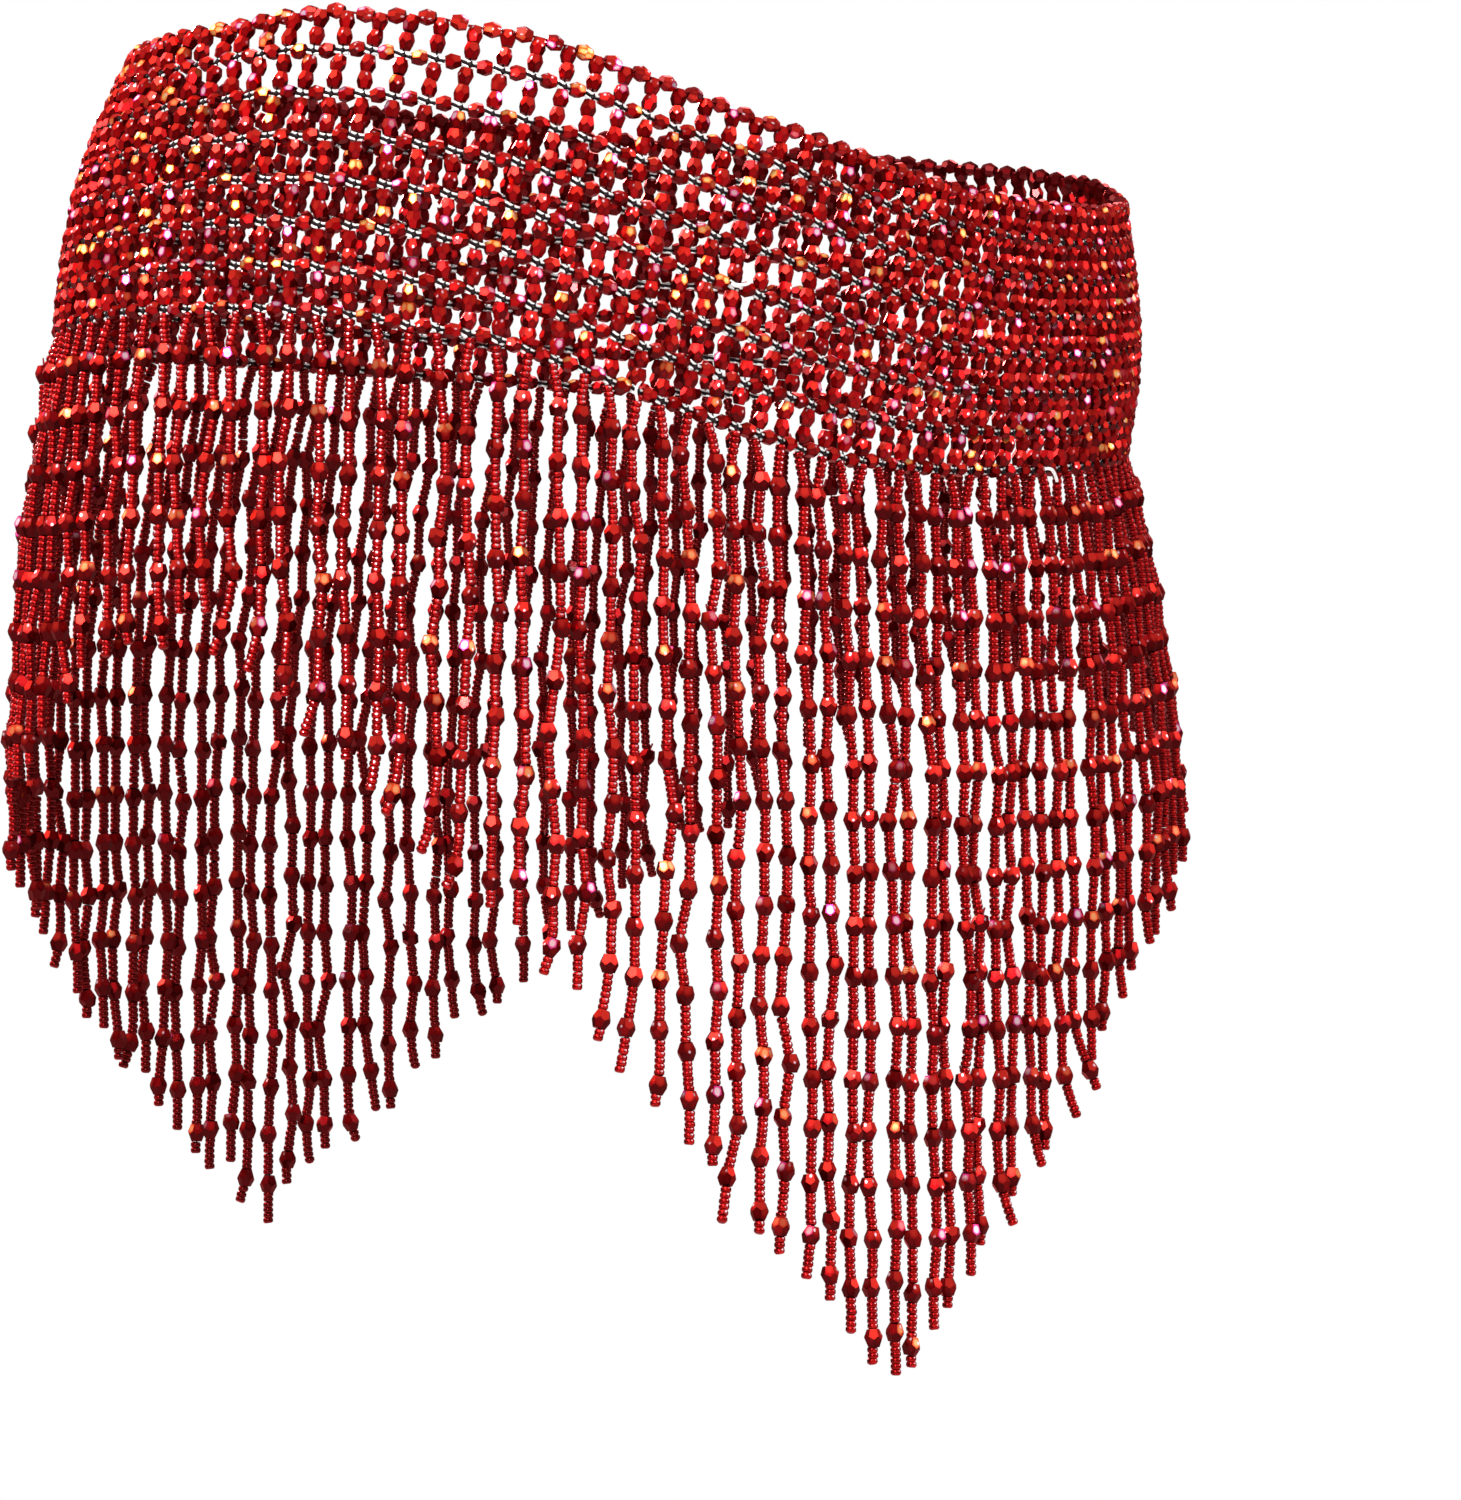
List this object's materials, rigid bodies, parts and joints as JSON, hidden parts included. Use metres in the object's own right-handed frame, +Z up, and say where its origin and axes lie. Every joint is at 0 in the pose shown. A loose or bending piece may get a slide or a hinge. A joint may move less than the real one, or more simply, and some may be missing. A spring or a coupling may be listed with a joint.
{
  "type": "beaded hip scarf",
  "caption": "Worn hip scarf of strung beads: a closed net band with a picot edge and a pointed bead fringe at front and back.",
  "frame": {"origin": "middle of the hollow that the band goes round, level with the band's middle at the right hip", "axes": "+Z up, -Y towards the front, -X towards the garment's right hip"},
  "size_m": [0.3796, 0.2427, 0.3695],
  "materials": {
    "edging_beads": "faceted silver-lined ruby beads, high gloss",
    "net_beads": "faceted silver-lined ruby beads, high gloss",
    "fringe_beads": "silver-lined ruby seed beads and faceted beads, high gloss",
    "thread": "white elastic beading thread"
  },
  "bodies": {
    "root": {"top_edging": "edging_beads", "net_band": "net_beads", "fringe_front": "fringe_beads", "fringe_back": "fringe_beads"}
  },
  "joints": []
}
